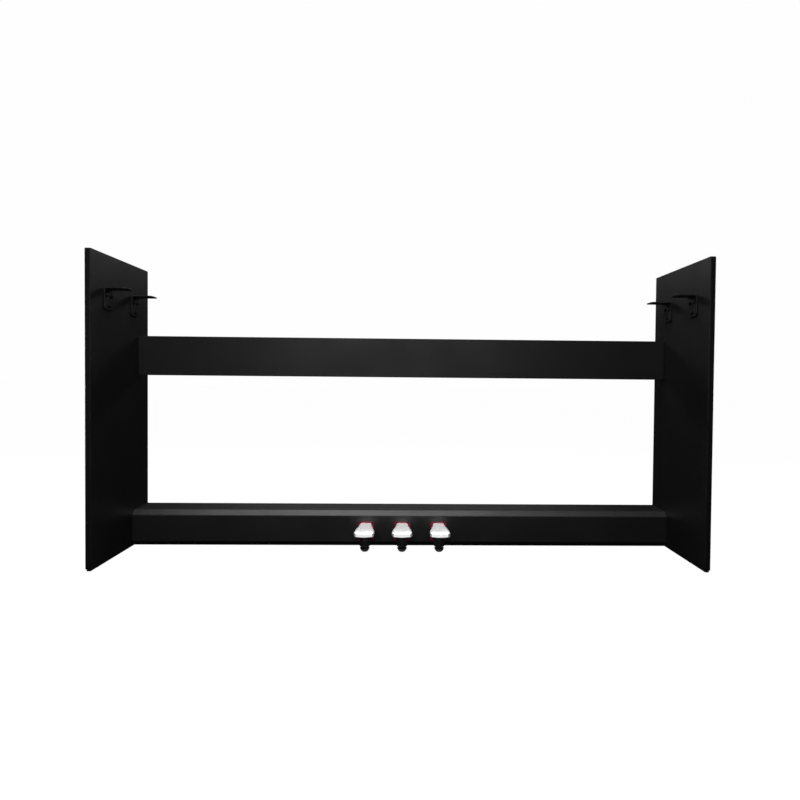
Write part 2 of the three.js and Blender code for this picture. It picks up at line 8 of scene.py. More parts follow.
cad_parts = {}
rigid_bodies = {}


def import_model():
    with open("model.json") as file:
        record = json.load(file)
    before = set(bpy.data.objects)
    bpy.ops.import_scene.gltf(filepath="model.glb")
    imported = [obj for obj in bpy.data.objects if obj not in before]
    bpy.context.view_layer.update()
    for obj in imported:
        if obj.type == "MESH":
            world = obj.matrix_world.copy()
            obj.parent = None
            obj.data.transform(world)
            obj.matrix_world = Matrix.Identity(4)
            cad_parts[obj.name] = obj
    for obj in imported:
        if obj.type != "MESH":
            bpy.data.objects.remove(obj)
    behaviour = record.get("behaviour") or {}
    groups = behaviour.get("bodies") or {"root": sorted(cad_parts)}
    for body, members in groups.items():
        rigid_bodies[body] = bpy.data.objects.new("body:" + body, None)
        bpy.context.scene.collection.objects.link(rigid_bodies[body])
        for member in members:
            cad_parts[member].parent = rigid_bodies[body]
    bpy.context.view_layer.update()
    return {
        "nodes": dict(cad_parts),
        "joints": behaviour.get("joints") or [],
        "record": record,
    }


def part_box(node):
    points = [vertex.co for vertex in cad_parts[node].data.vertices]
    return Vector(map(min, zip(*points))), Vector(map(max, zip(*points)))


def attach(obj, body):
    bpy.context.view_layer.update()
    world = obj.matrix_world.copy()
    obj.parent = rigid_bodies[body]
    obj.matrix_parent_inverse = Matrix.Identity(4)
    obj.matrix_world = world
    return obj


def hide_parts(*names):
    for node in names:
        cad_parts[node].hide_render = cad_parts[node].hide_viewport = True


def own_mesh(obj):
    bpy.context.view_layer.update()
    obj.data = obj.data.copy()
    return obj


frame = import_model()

MM = 0.001
SIDES = {"left": -1, "right": 1}
STATIONS = ("front", "rear")
PEDALS = ("left", "centre", "right")
BOLTS = ("rail_bolt_lower", "rail_bolt_upper", "box_bolt_front", "box_bolt_rear")
SCREWS = ("upper_front", "upper_rear", "lower")
BODIES = frame["record"]["behaviour"]["bodies"]
BODY_OF = {node: body for body, nodes in BODIES.items() for node in nodes}
HINGES = [joint for joint in frame["joints"] if joint["type"] == "hinge"]
PIVOTS = {joint["name"]: Vector(joint["pos_m"]) for joint in HINGES}


# ---- Material nodes ----

class Shader:
    """A material under construction: a Principled BSDF and the nodes that feed it."""

    def __init__(self, name):
        self.material = bpy.data.materials.new(name)
        self.material.use_nodes = True
        self.tree = self.material.node_tree
        self.surface = self.tree.nodes["Principled BSDF"]
        self.place = self.node("ShaderNodeTexCoord").outputs["Object"]

    def node(self, kind, inputs=None, **settings):
        made = self.tree.nodes.new(kind)
        for key, value in settings.items():
            setattr(made, key, value)
        for key, value in (inputs or {}).items():
            self.feed(made.inputs[key], value)
        return made

    def feed(self, socket, value):
        """A link from another node's output, or else the socket's own value."""
        if isinstance(value, bpy.types.NodeSocket):
            self.tree.links.new(value, socket)
        else:
            socket.default_value = value

    def set(self, **inputs):
        """Inputs of the BSDF, their spaces written as underscores."""
        for key, value in inputs.items():
            self.feed(self.surface.inputs[key.replace("_", " ")], value)

    def stretched(self, scale):
        """The object's own coordinates, stretched by a factor along each axis."""
        inputs = {"Vector": self.place, "Scale": scale}
        return self.node("ShaderNodeMapping", inputs).outputs["Vector"]

    def noise(self, scale, detail=3.0, roughness=0.55, place=None):
        inputs = {
            "Vector": place or self.place,
            "Scale": scale,
            "Detail": detail,
            "Roughness": roughness,
        }
        return self.node("ShaderNodeTexNoise", inputs).outputs["Fac"]

    def cells(self, scale, place=None, feature="F1", output="Distance"):
        inputs = {"Vector": place or self.place, "Scale": scale}
        return self.node("ShaderNodeTexVoronoi", inputs, feature=feature).outputs[output]

    def remap(self, value, low, high, to_low=0.0, to_high=1.0):
        inputs = {
            "Value": value,
            "From Min": low,
            "From Max": high,
            "To Min": to_low,
            "To Max": to_high,
        }
        return self.node("ShaderNodeMapRange", inputs).outputs["Result"]

    def math(self, operation, first, second):
        made = self.node("ShaderNodeMath", operation=operation)
        self.feed(made.inputs[0], first)
        self.feed(made.inputs[1], second)
        return made.outputs["Value"]

    def mix(self, factor, first, second):
        """A blend of two colours, each an output or an (r, g, b)."""
        made = self.node("ShaderNodeMix", data_type="RGBA")
        self.feed(made.inputs["Factor"], factor)
        for socket, colour in zip(made.inputs[6:8], (first, second)):
            self.feed(socket, (*colour, 1) if isinstance(colour, tuple) else colour)
        return made.outputs[2]

    def edges(self, radius, sharpness=0.25):
        """1 along outer and inner edges, 0 on open faces, broken up by noise."""
        soft = self.node("ShaderNodeBevel", {"Radius": radius}, samples=4).outputs["Normal"]
        hard = self.node("ShaderNodeNewGeometry").outputs["Normal"]
        cosine = self.node("ShaderNodeVectorMath", {0: soft, 1: hard}, operation="DOT_PRODUCT")
        mask = self.remap(cosine.outputs["Value"], 1.0, 1.0 - sharpness)
        worn = self.remap(self.noise(260.0, 4.0, 0.7), 0.42, 0.62)
        return self.math("MULTIPLY", mask, worn)

    def bump(self, *layers):
        """Layers of (height, strength, distance), the coarsest first."""
        normal = None
        for height, strength, distance in layers:
            inputs = {"Height": height, "Strength": strength, "Distance": distance}
            if normal:
                inputs["Normal"] = normal
            normal = self.node("ShaderNodeBump", inputs).outputs["Normal"]
        self.set(Normal=normal)


def laminate():
    """Black foil on board: satin, with an embossed pebble and a little dust."""
    s = Shader("laminate")
    pebble = s.cells(1250.0, feature="SMOOTH_F1")
    mottle = s.noise(420.0, 5.0, 0.65)
    cloud = s.noise(7.0, 3.0, 0.5)
    black = s.mix(mottle, (0.0045, 0.0042, 0.0048), (0.0105, 0.0098, 0.0112))
    dust = s.math("MULTIPLY", s.remap(s.cells(240.0), 0.10, 0.04), s.remap(cloud, 0.45, 0.7))
    dusty = s.mix(s.math("MULTIPLY", dust, 0.5), black, (0.10, 0.10, 0.105))
    colour = s.mix(s.math("MULTIPLY", s.edges(0.9 * MM), 0.35), dusty, (0.05, 0.048, 0.05))
    s.set(Base_Color=colour)
    grain = s.remap(mottle, 0.3, 0.7, 0.40, 0.50)
    s.set(Roughness=s.math("ADD", grain, s.remap(cloud, 0.35, 0.65, -0.03, 0.05)))
    s.bump((cloud, 0.05, 1.5 * MM), (pebble, 0.55, 0.10 * MM), (mottle, 0.3, 0.05 * MM))
    return s.material


def edge_band():
    """The plastic band on the boards' cut edges: plainer than the foil, faintly brushed."""
    s = Shader("edge_band")
    fine = s.noise(900.0, 4.0, 0.6)
    drawn = s.noise(60.0, 4.0, 0.6, s.stretched((14.0, 1.0, 1.0)))
    colour = s.mix(fine, (0.006, 0.0058, 0.0063), (0.013, 0.0125, 0.0135))
    worn = s.mix(s.math("MULTIPLY", s.edges(0.9 * MM), 0.5), colour, (0.07, 0.068, 0.07))
    s.set(Base_Color=worn, Roughness=s.remap(drawn, 0.3, 0.7, 0.34, 0.46))
    s.bump((drawn, 0.12, 0.12 * MM), (fine, 0.3, 0.05 * MM))
    return s.material


def particle_board():
    """Bare pressed chips, seen only inside the pedal box."""
    s = Shader("particle_board")
    chips = s.node("ShaderNodeTexVoronoi", {"Vector": s.stretched((1.0, 1.0, 2.2)), "Scale": 420.0})
    tone = s.remap(s.noise(900.0, 4.0), 0.3, 0.7)
    pale = s.mix(chips.outputs["Color"], (0.32, 0.20, 0.11), (0.55, 0.40, 0.25))
    s.set(Base_Color=s.mix(s.math("MULTIPLY", tone, 0.4), pale, (0.22, 0.13, 0.07)))
    s.set(Roughness=s.remap(tone, 0.0, 1.0, 0.75, 0.95))
    s.bump((chips.outputs["Distance"], 0.6, 0.25 * MM), (s.noise(1500.0), 0.4, 0.1 * MM))
    return s.material


def powder_coat():
    """Fine-textured black powder coat on steel, rubbed down to metal along its edges."""
    s = Shader("powder_coat")
    peel = s.noise(850.0, 4.0, 0.6)
    broad = s.noise(30.0, 3.0, 0.5)
    worn = s.edges(0.7 * MM)
    colour = s.mix(broad, (0.014, 0.014, 0.015), (0.024, 0.024, 0.026))
    s.set(Base_Color=s.mix(s.math("MULTIPLY", worn, 0.7), colour, (0.16, 0.16, 0.17)))
    s.set(Metallic=s.math("MULTIPLY", worn, 0.6))
    s.set(Roughness=s.remap(peel, 0.3, 0.7, 0.33, 0.47))
    s.bump((peel, 0.5, 0.09 * MM), (s.noise(2600.0, 2.0), 0.25, 0.03 * MM))
    return s.material


def blacked_steel():
    """Black-zinc screws: dark, oily and a little blotchy."""
    s = Shader("blacked_steel")
    blotch = s.noise(500.0, 4.0, 0.6)
    worn = s.edges(0.3 * MM)
    colour = s.mix(blotch, (0.010, 0.010, 0.011), (0.028, 0.027, 0.030))
    s.set(Base_Color=s.mix(s.math("MULTIPLY", worn, 0.6), colour, (0.25, 0.25, 0.26)))
    s.set(Metallic=0.75, Roughness=s.remap(blotch, 0.3, 0.7, 0.32, 0.5))
    s.bump((s.noise(2200.0, 3.0), 0.25, 0.03 * MM))
    return s.material


def plated_steel(name, colour, shade, low, high):
    """Zinc or nickel plate with turning marks round each piece's own X axis."""
    s = Shader(name)
    turned_marks = s.node(
        "ShaderNodeTexWave",
        {"Vector": s.place, "Scale": 420.0, "Distortion": 1.5, "Detail": 2.0},
        wave_type="RINGS",
        rings_direction="X",
    ).outputs["Fac"]
    cloud = s.noise(160.0, 5.0, 0.6)
    s.set(Base_Color=s.mix(cloud, colour, shade), Metallic=1.0)
    s.set(Roughness=s.remap(cloud, 0.3, 0.7, low, high))
    s.bump((turned_marks, 0.12, 0.03 * MM), (s.noise(1800.0, 3.0), 0.15, 0.02 * MM))
    return s.material


def chrome():
    """Bright chrome with faint polishing scratches and a trace of fingerprints."""
    s = Shader("chrome")
    smudge = s.noise(55.0, 5.0, 0.6)
    scratch = s.noise(420.0, 3.0, 0.7, s.stretched((1.0, 0.05, 1.0)))
    s.set(Base_Color=s.mix(smudge, (0.95, 0.95, 0.955), (0.89, 0.89, 0.90)), Metallic=0.8)
    s.set(Roughness=s.remap(smudge, 0.35, 0.7, 0.08, 0.2))
    s.bump((smudge, 0.03, 0.3 * MM), (scratch, 0.04, 0.03 * MM))
    return s.material


def black_plastic():
    """Moulded black plastic with a fine spark-eroded texture."""
    s = Shader("black_plastic")
    spark = s.noise(1600.0, 3.0, 0.6)
    broad = s.noise(40.0, 3.0, 0.5)
    colour = s.mix(broad, (0.008, 0.008, 0.009), (0.016, 0.016, 0.017))
    worn = s.math("MULTIPLY", s.edges(0.5 * MM), 0.5)
    s.set(Base_Color=s.mix(worn, colour, (0.07, 0.07, 0.072)))
    s.set(Roughness=s.remap(spark, 0.3, 0.7, 0.42, 0.6))
    s.bump((spark, 0.45, 0.06 * MM))
    return s.material


def rubber():
    """Hard black rubber with a grey bloom."""
    s = Shader("rubber")
    grit = s.noise(1100.0, 5.0, 0.7)
    bloom = s.noise(90.0, 4.0, 0.6)
    s.set(Base_Color=s.mix(bloom, (0.0075, 0.0075, 0.008), (0.020, 0.020, 0.021)))
    s.set(Roughness=s.remap(bloom, 0.3, 0.7, 0.62, 0.85))
    s.bump((grit, 0.6, 0.10 * MM))
    return s.material


def red_felt():
    """Pressed wool felt: crimson, matted fibres running every way."""
    s = Shader("red_felt")
    fibres = s.noise(1500.0, 6.0, 0.75)
    curled = s.noise(700.0, 4.0, 0.7, s.stretched((1.0, 3.0, 1.0)))
    tuft = s.noise(160.0, 4.0, 0.6)
    deep = s.mix(fibres, (0.15, 0.002, 0.014), (0.36, 0.008, 0.040))
    s.set(Base_Color=s.mix(s.remap(tuft, 0.35, 0.7, 0.0, 0.5), deep, (0.44, 0.018, 0.06)))
    s.set(Roughness=s.remap(curled, 0.3, 0.7, 0.88, 1.0))
    s.set(Sheen_Weight=0.3, Sheen_Roughness=0.45, Sheen_Tint=(0.9, 0.15, 0.3, 1.0))
    s.bump((tuft, 0.4, 0.4 * MM), (curled, 0.7, 0.2 * MM), (fibres, 0.8, 0.15 * MM))
    return s.material


def circuit():
    """Green solder mask over a grid of copper tracks."""
    s = Shader("circuit")
    brick = s.node(
        "ShaderNodeTexBrick",
        {"Vector": s.place, "Scale": 130.0, "Mortar Size": 0.06},
    ).outputs["Fac"]
    cloud = s.noise(120.0, 3.0)
    mask = s.mix(cloud, (0.010, 0.085, 0.035), (0.016, 0.11, 0.05))
    s.set(Base_Color=s.mix(s.math("MULTIPLY", brick, 0.7), mask, (0.05, 0.26, 0.10)))
    s.set(Roughness=s.remap(cloud, 0.3, 0.7, 0.25, 0.38))
    s.bump((brick, 0.5, 0.05 * MM))
    return s.material


def brass():
    """Tarnished brass, on the socket's contacts."""
    s = Shader("brass")
    tarnish = s.noise(900.0, 4.0)
    s.set(Base_Color=s.mix(tarnish, (0.78, 0.58, 0.26), (0.62, 0.42, 0.18)), Metallic=1.0)
    s.set(Roughness=s.remap(tarnish, 0.3, 0.7, 0.2, 0.35))
    s.bump((tarnish, 0.2, 0.03 * MM))
    return s.material


LAMINATE = laminate()
EDGE_BAND = edge_band()
PARTICLE_BOARD = particle_board()
POWDER_COAT = powder_coat()
BLACKED_STEEL = blacked_steel()
BOLT_STEEL = plated_steel("bolt_steel", (0.60, 0.60, 0.61), (0.42, 0.42, 0.44), 0.22, 0.36)
BRIGHT_STEEL = plated_steel("bright_steel", (0.70, 0.71, 0.73), (0.52, 0.53, 0.55), 0.16, 0.30)
CHROME = chrome()
BLACK_PLASTIC = black_plastic()
RUBBER = rubber()
RED_FELT = red_felt()
CIRCUIT = circuit()
BRASS = brass()


# ---- Outlines: lists of 2D points, anticlockwise ----

def arc(centre, radius, start, end, steps):
    """Points round an arc, its angles in degrees."""
    turns = [math.radians(start + (end - start) * i / steps) for i in range(steps + 1)]
    x, y = centre
    return [Vector((x + radius * math.cos(turn), y + radius * math.sin(turn))) for turn in turns]


def circle(centre, radius, steps=32):
    return arc(centre, radius, 0, 360, steps)[:-1]


def rounded(left, right, bottom, top, radius, steps=5):
    """A rectangle with rounded corners."""
    corners = (
        ((right - radius, bottom + radius), -90),
        ((right - radius, top - radius), 0),
        ((left + radius, top - radius), 90),
        ((left + radius, bottom + radius), 180),
    )
    points = []
    for centre, start in corners:
        points += arc(centre, radius, start, start + 90, steps)
    return points


def bezier(start, pull_start, pull_end, end, steps):
    """Points along a cubic curve, without its first."""
    points = []
    for i in range(1, steps + 1):
        t = i / steps
        near = (1 - t) ** 3 * Vector(start) + 3 * (1 - t) ** 2 * t * Vector(pull_start)
        points.append(near + 3 * (1 - t) * t ** 2 * Vector(pull_end) + t ** 3 * Vector(end))
    return points


def softened(points, reach, steps=3):
    """An open line with its corners rounded off, each over at most `reach`."""
    points = [Vector(point) for point in points]
    line = [points[0]]
    for before, corner, after in zip(points, points[1:], points[2:]):
        cut = min(reach, (corner - before).length / 2.01, (after - corner).length / 2.01)
        start = corner + (before - corner).normalized() * cut
        end = corner + (after - corner).normalized() * cut
        for i in range(steps + 1):
            t = i / steps
            line.append((1 - t) ** 2 * start + 2 * (1 - t) * t * corner + t ** 2 * end)
    return line + [points[-1]]


def inset(outline, distance):
    """The outline moved inwards, each corner along its own bisector."""
    moved = []
    for i, here in enumerate(outline):
        into = (here - outline[i - 1]).normalized()
        out_of = (outline[(i + 1) % len(outline)] - here).normalized()
        first, second = Vector((-into.y, into.x)), Vector((-out_of.y, out_of.x))
        moved.append(here + (first + second) * distance / (1 + first.dot(second)))
    return moved


def spaced(outline, count):
    """The same closed outline as `count` evenly spaced points."""
    corners = outline + outline[:1]
    lengths = [(b - a).length for a, b in zip(corners, corners[1:])]
    step = sum(lengths) / count
    points, i, travelled = [], 0, 0.0
    for k in range(count):
        while travelled + lengths[i] < k * step:
            travelled += lengths[i]
            i += 1
        points.append(corners[i].lerp(corners[i + 1], (k * step - travelled) / lengths[i]))
    return points


# ---- Mesh building ----

LAY = {
    "x": lambda across, up, along: (along, across, up),
    "y": lambda across, up, along: (across, along, up),
    "z": lambda across, up, along: (across, up, along),
}


def loop(bm, lay, outline, position):
    """A closed loop of new vertices, laid across an axis."""
    return [bm.verts.new(lay(point[0], point[1], position)) for point in outline]


def bridge(bm, first, second, material=0):
    """Faces between two loops of the same length; a loop of one vertex is a pole."""
    for i in range(max(len(first), len(second))):
        j = i + 1
        corners = []
        for ring, order in ((first, (i, j)), (second, (j, i))):
            corners += [ring[0]] if len(ring) == 1 else [ring[k % len(ring)] for k in order]
        bm.faces.new(corners).material_index = material


def cap(bm, loops):
    """A flat face inside the first loop and round any others."""
    if len(loops) == 1:
        bm.faces.new(loops[0])
        return
    edges = [bm.edges.get(pair) for ring in loops for pair in zip(ring, ring[1:] + ring[:1])]
    bmesh.ops.triangle_fill(bm, use_beauty=True, edges=edges)


def slab(bm, axis, outline, start, end, edge, holes=(), sides=0, steps=3):
    """A board across an axis, with rounded rims. A hole is a list of (outline, position)
    loops, the first on one face; `sides` is the material index of the board's edges."""
    lay = LAY[axis]
    edge_in = math.copysign(edge, end - start)
    turns = [math.pi / 2 * i / steps for i in range(steps + 1)]
    rim = [(edge * (1 - math.sin(t)), edge_in * (1 - math.cos(t))) for t in turns]
    places = [(inward, start + depth) for inward, depth in rim]
    places += [(inward, end - depth) for inward, depth in reversed(rim)]
    rings = [loop(bm, lay, inset(outline, inward), position) for inward, position in places]
    for first, second in zip(rings, rings[1:]):
        bridge(bm, first, second, sides)
    rims = {start: [rings[0]], end: [rings[-1]]}
    for hole in holes:
        walls = [loop(bm, lay, points, position) for points, position in hole]
        for first, second in zip(walls, walls[1:]):
            bridge(bm, first, second)
        rims[hole[0][1]].append(walls[0])
        if hole[-1][1] in rims:
            rims[hole[-1][1]].append(walls[-1])
        else:
            bm.faces.new(walls[-1])
    for loops in rims.values():
        cap(bm, loops)


def turned(bm, profile, centre=(0, 0, 0), axis="z", steps=48, flute=None):
    """A turned piece: (radius, height) pairs about an axis through `centre`. `flute` scales
    the radius by angle and height."""
    lay = LAY[axis]
    rings = []
    for radius, height in profile:
        count = steps if radius > 1e-9 else 1
        ring = []
        for i in range(count):
            angle = 2 * math.pi * i / steps
            reach = radius * (flute(angle, height) if flute else 1)
            place = Vector(lay(reach * math.cos(angle), reach * math.sin(angle), height))
            ring.append(bm.verts.new(place + Vector(centre)))
        rings.append(ring)
    for first, second in zip(rings, rings[1:]):
        bridge(bm, first, second)
    return rings


def tube(bm, path, radius, sides=12):
    """A round wire along a path, with closed ends."""
    rings = []
    for i, here in enumerate(path):
        along = (path[min(i + 1, len(path) - 1)] - path[max(i - 1, 0)]).normalized()
        across = along.cross(Vector((0, 0, 1))).normalized()
        up = across.cross(along)
        angles = [2 * math.pi * k / sides for k in range(sides)]
        offsets = [(across * math.cos(a) + up * math.sin(a)) * radius for a in angles]
        rings.append([bm.verts.new(here + offset) for offset in offsets])
    for first, second in zip(rings, rings[1:]):
        bridge(bm, first, second)
    bm.faces.new(rings[0])
    bm.faces.new(rings[-1])


def to_object(name, bm, *materials):
    """An object in the scene from a bmesh, which it uses up."""
    bmesh.ops.recalc_face_normals(bm, faces=bm.faces)
    mesh = bpy.data.meshes.new(name)
    bm.to_mesh(mesh)
    bm.free()
    for material in materials:
        mesh.materials.append(material)
    piece = bpy.data.objects.new(name, mesh)
    bpy.context.scene.collection.objects.link(piece)
    return piece


def built(name, materials, build, *arguments, **options):
    """An object from one call of a builder, such as slab or turned."""
    bm = bmesh.new()
    build(bm, *arguments, **options)
    return to_object(name, bm, *materials)


def combine(piece, other, operation):
    """A boolean that uses `other` up."""
    modifier = piece.modifiers.new(operation.lower(), "BOOLEAN")
    modifier.operation = operation
    modifier.object = other
    modifier.solver = "EXACT"
    bpy.context.view_layer.update()
    evaluated = piece.evaluated_get(bpy.context.evaluated_depsgraph_get())
    mesh = bpy.data.meshes.new_from_object(evaluated)
    piece.modifiers.clear()
    piece.data = mesh
    bpy.data.objects.remove(other)
    return piece


def shade(piece, sharp=35):
    """Rounded rims shade smoothly and flat faces stay flat."""
    piece.data.shade_smooth()
    piece.data.set_sharp_from_angle(angle=math.radians(sharp))
    modifier = piece.modifiers.new("normals", "WEIGHTED_NORMAL")
    modifier.keep_sharp = True
    modifier.weight = 100
    return piece


def stand_for(piece, node):
    """The piece takes the place of a CAD node, on the node's own body."""
    piece.name = f"{node}_detail"
    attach(piece, BODY_OF[node])
    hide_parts(node)
    return piece


def dress(node, material, edge=0.0):
    """A CAD node that keeps its shape and gets a finish; `edge` is the width of a bevel."""
    piece = frame["nodes"][node]
    piece.data.materials.clear()
    piece.data.materials.append(material)
    piece.data.shade_smooth()
    piece.data.set_sharp_from_angle(angle=math.radians(35))
    if edge:
        bevel = piece.modifiers.new("edges", "BEVEL")
        bevel.width = edge
        bevel.segments = 2
        bevel.limit_method = "ANGLE"
        bevel.angle_limit = math.radians(50)
        bevel.harden_normals = True


def middle(node):
    """The middle of a CAD node's box."""
    low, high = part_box(node)
    return (low + high) / 2


# ---- Side panels and their floor strips ----

PANEL_CORNER = 3 * MM
PANEL_EDGE = 0.9 * MM
COUNTERBORE_RADIUS = 8 * MM
COUNTERBORE_DEPTH = 3 * MM
COUNTERBORE_LIP = 0.3 * MM
BOLT_RADIUS = 3 * MM
BORE_CLEARANCE = 0.3 * MM


def side_panel(name, side):
    """A board on edge, with a counterbored hole for each connector bolt."""
    node = f"{name}_side_panel"
    low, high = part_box(node)
    outer, inner = (low.x, high.x) if side < 0 else (high.x, low.x)
    holes = []
    for bolt in BOLTS:
        centre = middle(f"{name}_{bolt}").yz
        rim = outer - side * COUNTERBORE_LIP
        seat = outer - side * COUNTERBORE_DEPTH
        lip = circle(centre, COUNTERBORE_RADIUS + COUNTERBORE_LIP)
        wide = circle(centre, COUNTERBORE_RADIUS)
        bore = circle(centre, BOLT_RADIUS + BORE_CLEARANCE)
        holes.append([(lip, outer), (wide, rim), (wide, seat), (bore, seat), (bore, inner)])
    outline = rounded(low.y, high.y, low.z, high.z, PANEL_CORNER)
    arguments = ("x", outline, outer, inner, PANEL_EDGE, holes)
    panel = built(node, (LAMINATE, EDGE_BAND), slab, *arguments, sides=1, steps=4)
    stand_for(shade(panel), node)


def floor_strip(name):
    """A black plastic glide, its flanks ribbed along its length."""
    node = f"{name}_floor_strip"
    low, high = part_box(node)
    ribs, depth, slope = 3, 0.45 * MM, 0.1 * MM
    flank = []
    for i in range(ribs):
        base = low.z + (high.z - low.z) * (i + 0.12) / ribs
        top = low.z + (high.z - low.z) * (i + 0.88) / ribs
        flank += [(depth, base - slope), (0, base + slope)]
        flank += [(0, top - slope), (depth, top + slope)]
    right = [Vector((high.x - inward, z)) for inward, z in flank]
    left = [Vector((low.x + inward, z)) for inward, z in reversed(flank)]
    arguments = ("y", right + left, low.y, high.y, 0.1 * MM)
    strip = built(node, (BLACK_PLASTIC,), slab, *arguments, steps=1)
    stand_for(shade(strip), node)


# ---- Brackets and their screws ----

PLATE = 2.5 * MM
BEND_OUTER = 4 * MM
BEND_STEPS = 8
BRACKET_CORNER = 7 * MM
PIANO_HOLE_RADIUS = 2.75 * MM
PIANO_HOLE_INSET = 20 * MM
SCREW_HOLE_RADIUS = 2.3 * MM
HOLE_EASE = 0.25 * MM
HEAD_RADIUS = 4.3 * MM
HEAD_HEIGHT = 2.4 * MM


def bracket(name, side, station):
    """One steel plate, cut flat, drilled and folded over a bend."""
    node = f"{name}_{station}_bracket"
    low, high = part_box(node)
    width, height, reach = high.y - low.y, high.z - low.z, high.x - low.x
    wall = low.x if side < 0 else high.x
    centre_y = (low.y + high.y) / 2
    leg = height - BEND_OUTER
    bend = (BEND_OUTER - PLATE / 2) * math.pi / 2
    length = leg + bend + reach - BEND_OUTER

    def through(along, across, radius):
        ring = circle((along, across), radius, 24)
        lip = circle((along, across), radius + HOLE_EASE, 24)
        return ((lip, 0.0), (ring, HOLE_EASE), (ring, PLATE - HOLE_EASE), (lip, PLATE))

    holes = [through(length - PIANO_HOLE_INSET, 0, PIANO_HOLE_RADIUS)]
    for place in SCREWS:
        screw = middle(f"{node}_screw_{place}")
        holes.append(through(screw.z - low.z, screw.y - centre_y, SCREW_HOLE_RADIUS))
    outline = rounded(0, length, -width / 2, width / 2, BRACKET_CORNER, 6)
    bm = bmesh.new()
    slab(bm, "z", outline, 0.0, PLATE, 0.35 * MM, holes)
    for i in range(BEND_STEPS + 1):
        everything = bm.verts[:] + bm.edges[:] + bm.faces[:]
        cut = (leg + bend * i / BEND_STEPS, 0, 0)
        bmesh.ops.bisect_plane(bm, geom=everything, plane_co=cut, plane_no=(1, 0, 0))
    for vert in bm.verts:
        along, across, depth = vert.co
        if along <= leg:
            out, up = depth, along - height
        elif along < leg + bend:
            angle = (along - leg) / bend * math.pi / 2
            radius = BEND_OUTER - depth
            out, up = BEND_OUTER - radius * math.cos(angle), radius * math.sin(angle) - BEND_OUTER
        else:
            out, up = BEND_OUTER + along - leg - bend, -depth
        vert.co = (wall - side * out, centre_y + across, high.z + up)
    stand_for(shade(to_object(node, bm, POWDER_COAT), 40), node)


def cross_recess():
    """Two crossed, tapered bars: the tool that cuts a cross-head recess along -X."""
    tools = []
    for turn in (0, math.pi / 2):
        bm = bmesh.new()
        for half, long, x in ((0.38, 1.0, -1.3), (0.62, 2.5, 0.6)):
            verts = []
            for a, b in ((-1, -1), (1, -1), (1, 1), (-1, 1)):
                corner = Vector((x, a * long, b * half)) * MM
                verts.append(bm.verts.new(Matrix.Rotation(turn, 3, "X") @ corner))
            bm.faces.new(verts)
        bm.verts.ensure_lookup_table()
        bridge(bm, bm.verts[:4], bm.verts[4:])
        tools.append(to_object("recess", bm))
    return tools


def screw_shape():
    """A pan-head screw along X: its head's top is at x = 0 and its tip towards -X."""
    head = [(0, 0), (0.52, 0), (0.86, -0.22), (1.0, -0.62), (1.0, -0.94), (0.93, -1.0)]
    profile = softened([(HEAD_RADIUS * r, HEAD_HEIGHT * h) for r, h in head], 0.5 * MM)
    profile += [Vector((2 * MM, -HEAD_HEIGHT))]
    depth = -HEAD_HEIGHT - 3 * MM
    for i in range(7):  # thread crests and roots
        profile += [Vector((1.55 * MM, depth)), Vector((2 * MM, depth - 0.45 * MM))]
        depth -= 1.0 * MM
    profile += [Vector((0.4 * MM, depth - 0.6 * MM)), Vector((0, depth - 0.8 * MM))]
    screw = built("screw_shape", (BLACKED_STEEL,), turned, profile, axis="x", steps=32)
    for tool in cross_recess():
        combine(screw, tool, "DIFFERENCE")
    return shade(screw, 30)


def set_copy(pattern, node, outward, turn):
    """A copy of a screw or bolt in place of its CAD node, its head towards +X or -X."""
    low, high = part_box(node)
    spot = middle(node)
    head = high.x if outward > 0 else low.x
    facing = Matrix.Rotation(0 if outward > 0 else math.pi, 4, "Z")
    twist = Matrix.Rotation(turn, 4, "X")
    copy = pattern.copy()
    bpy.context.scene.collection.objects.link(copy)
    copy.matrix_world = Matrix.Translation((head, spot.y, spot.z)) @ facing @ twist
    stand_for(copy, node)


def set_screws():
    """The twelve bracket screws, each stopped at a different turn."""
    pattern = screw_shape()
    turn = 0.0
    for name, side in SIDES.items():
        for station in STATIONS:
            for place in SCREWS:
                node = f"{name}_{station}_bracket_screw_{place}"
                set_copy(pattern, node, -side, turn)
                turn += math.radians(37)
    bpy.data.objects.remove(pattern)


# ---- Connector bolts ----

BOLT_HEAD_RADIUS = 7 * MM
BOLT_HEAD = 2.4 * MM
BOLT_HEAD_EASE = 0.8 * MM
BOLT_SHANK = 9 * MM
BOLT_LENGTH = 27.7 * MM
BOLT_KEY_RADIUS = 2.702 * MM  # to the corners of the hexagonal socket
BOLT_KEY_DEPTH = 1.7 * MM


def bolt_shape():
    """A furniture bolt along X: its flat head's face is at x = 0 and its tip towards -X."""
    rim = BOLT_HEAD_RADIUS - BOLT_HEAD_EASE
    head = [(0, 0), (rim, 0), (BOLT_HEAD_RADIUS, -BOLT_HEAD_EASE), (BOLT_HEAD_RADIUS, -BOLT_HEAD)]
    profile = softened(head, 0.35 * MM) + [Vector((BOLT_RADIUS, -BOLT_HEAD))]
    depth = -BOLT_HEAD - BOLT_SHANK
    profile.append(Vector((BOLT_RADIUS, depth)))
    while depth > 2 * MM - BOLT_LENGTH:  # thread roots and crests
        profile.append(Vector((0.84 * BOLT_RADIUS, depth - 0.3 * MM)))
        profile.append(Vector((BOLT_RADIUS, depth - 0.8 * MM)))
        depth -= 1.0 * MM
    profile += [Vector((0.6 * BOLT_RADIUS, -BOLT_LENGTH)), Vector((0, -BOLT_LENGTH))]
    bolt = built("bolt_shape", (BOLT_STEEL,), turned, profile, axis="x", steps=48)
    hexagon = arc((0, 0), BOLT_KEY_RADIUS, -150, 150, 5)
    key = built("key", (), slab, "x", hexagon, -BOLT_KEY_DEPTH, 1 * MM, 0.01 * MM, steps=1)
    return shade(combine(bolt, key, "DIFFERENCE"), 30)


